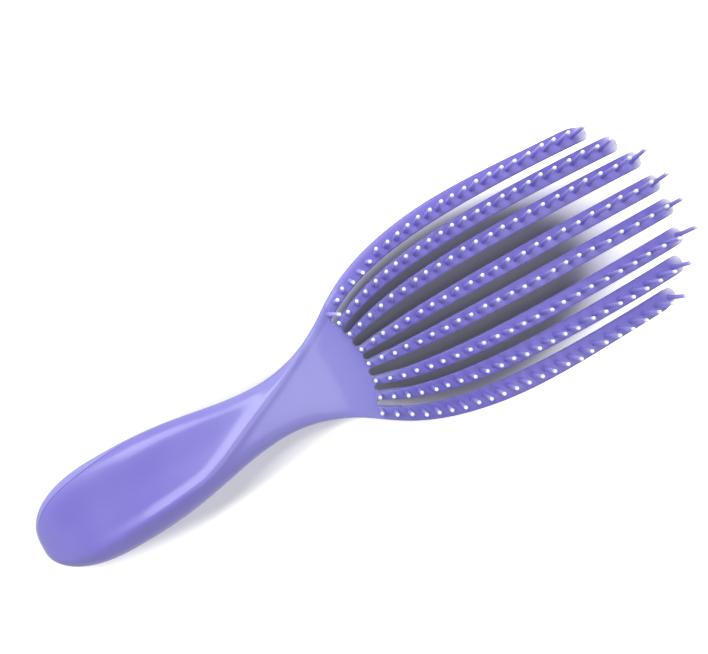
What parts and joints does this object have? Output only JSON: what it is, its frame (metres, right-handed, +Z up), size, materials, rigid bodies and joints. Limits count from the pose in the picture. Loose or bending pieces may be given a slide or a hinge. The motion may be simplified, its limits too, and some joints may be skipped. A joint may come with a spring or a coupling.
{
  "type": "detangling brush",
  "caption": "Flat vented detangling brush: a waisted grip and palm carry separate flexing arms, each with one row of upright pins.",
  "frame": {"origin": "on the table under the middle of the brush's length, lying on its back with the pins up", "axes": "+X along the brush to the arm tips, +Y across it, +Z up along the pins"},
  "size_m": [0.2451, 0.074, 0.027],
  "materials": {
    "handle": "glossy moulded lavender plastic",
    "arms": "glossy moulded violet plastic",
    "pins": "glossy moulded violet plastic with paler pins"
  },
  "bodies": {
    "handle": {"handle_front": "handle", "handle_back": "handle"},
    "root_1": {"arm_root_1": "arms"},
    "arm_1": {"arm_1": "arms", "pin_strip_1": "pins"},
    "root_2": {"arm_root_2": "arms"},
    "arm_2": {"arm_2": "arms", "pin_strip_2": "pins"},
    "root_3": {"arm_root_3": "arms"},
    "arm_3": {"arm_3": "arms", "pin_strip_3": "pins"},
    "root_4": {"arm_root_4": "arms"},
    "arm_4": {"arm_4": "arms", "pin_strip_4": "pins"},
    "root_5": {"arm_root_5": "arms"},
    "arm_5": {"arm_5": "arms", "pin_strip_5": "pins"},
    "root_6": {"arm_root_6": "arms"},
    "arm_6": {"arm_6": "arms", "pin_strip_6": "pins"},
    "root_7": {"arm_root_7": "arms"},
    "arm_7": {"arm_7": "arms", "pin_strip_7": "pins"},
    "root_8": {"arm_root_8": "arms"},
    "arm_8": {"arm_8": "arms", "pin_strip_8": "pins"}
  },
  "joints": [
    {"name": "arm_1_splay", "type": "hinge", "parent": "handle", "child": "root_1", "pos_m": [0.00592, 0.02181, 0.00543], "axis": [0, 0, 1], "range_deg": [-0.9, 5], "stiffness_Nm_per_rad": 0.3},
    {"name": "arm_1_bend", "type": "hinge", "parent": "root_1", "child": "arm_1", "pos_m": [0.01204, 0.02487, 0.00636], "axis": [0, 1, 0], "range_deg": [-8, 12], "stiffness_Nm_per_rad": 0.3},
    {"name": "arm_2_splay", "type": "hinge", "parent": "handle", "child": "root_2", "pos_m": [0.00803, 0.01621, 0.00576], "axis": [0, 0, 1], "range_deg": [-1, 0.9], "stiffness_Nm_per_rad": 0.3},
    {"name": "arm_2_bend", "type": "hinge", "parent": "root_2", "child": "arm_2", "pos_m": [0.0144, 0.01854, 0.00671], "axis": [0, 1, 0], "range_deg": [-8, 12], "stiffness_Nm_per_rad": 0.3},
    {"name": "arm_3_splay", "type": "hinge", "parent": "handle", "child": "root_3", "pos_m": [0.00969, 0.01036, 0.00601], "axis": [0, 0, 1], "range_deg": [-1.8, 1], "stiffness_Nm_per_rad": 0.3},
    {"name": "arm_3_bend", "type": "hinge", "parent": "root_3", "child": "arm_3", "pos_m": [0.01642, 0.0119, 0.00699], "axis": [0, 1, 0], "range_deg": [-8, 12], "stiffness_Nm_per_rad": 0.3},
    {"name": "arm_4_splay", "type": "hinge", "parent": "handle", "child": "root_4", "pos_m": [0.01061, 0.00325, 0.00615], "axis": [0, 0, 1], "range_deg": [-1.3, 1.8], "stiffness_Nm_per_rad": 0.3},
    {"name": "arm_4_bend", "type": "hinge", "parent": "root_4", "child": "arm_4", "pos_m": [0.01744, 0.00373, 0.00713], "axis": [0, 1, 0], "range_deg": [-8, 12], "stiffness_Nm_per_rad": 0.3},
    {"name": "arm_5_splay", "type": "hinge", "parent": "handle", "child": "root_5", "pos_m": [0.01063, -0.00325, 0.00615], "axis": [0, 0, 1], "range_deg": [-1.8, 1.3], "stiffness_Nm_per_rad": 0.3},
    {"name": "arm_5_bend", "type": "hinge", "parent": "root_5", "child": "arm_5", "pos_m": [0.01749, -0.00373, 0.00714], "axis": [0, 1, 0], "range_deg": [-8, 12], "stiffness_Nm_per_rad": 0.3},
    {"name": "arm_6_splay", "type": "hinge", "parent": "handle", "child": "root_6", "pos_m": [0.00975, -0.01038, 0.00602], "axis": [0, 0, 1], "range_deg": [-1, 1.8], "stiffness_Nm_per_rad": 0.3},
    {"name": "arm_6_bend", "type": "hinge", "parent": "root_6", "child": "arm_6", "pos_m": [0.01659, -0.01193, 0.00702], "axis": [0, 1, 0], "range_deg": [-8, 12], "stiffness_Nm_per_rad": 0.3},
    {"name": "arm_7_splay", "type": "hinge", "parent": "handle", "child": "root_7", "pos_m": [0.00813, -0.01625, 0.00577], "axis": [0, 0, 1], "range_deg": [-0.9, 1], "stiffness_Nm_per_rad": 0.3},
    {"name": "arm_7_bend", "type": "hinge", "parent": "root_7", "child": "arm_7", "pos_m": [0.01464, -0.01862, 0.00674], "axis": [0, 1, 0], "range_deg": [-8, 12], "stiffness_Nm_per_rad": 0.3},
    {"name": "arm_8_splay", "type": "hinge", "parent": "handle", "child": "root_8", "pos_m": [0.00603, -0.02187, 0.00544], "axis": [0, 0, 1], "range_deg": [-5, 0.9], "stiffness_Nm_per_rad": 0.3},
    {"name": "arm_8_bend", "type": "hinge", "parent": "root_8", "child": "arm_8", "pos_m": [0.01231, -0.02499, 0.0064], "axis": [0, 1, 0], "range_deg": [-8, 12], "stiffness_Nm_per_rad": 0.3}
  ]
}
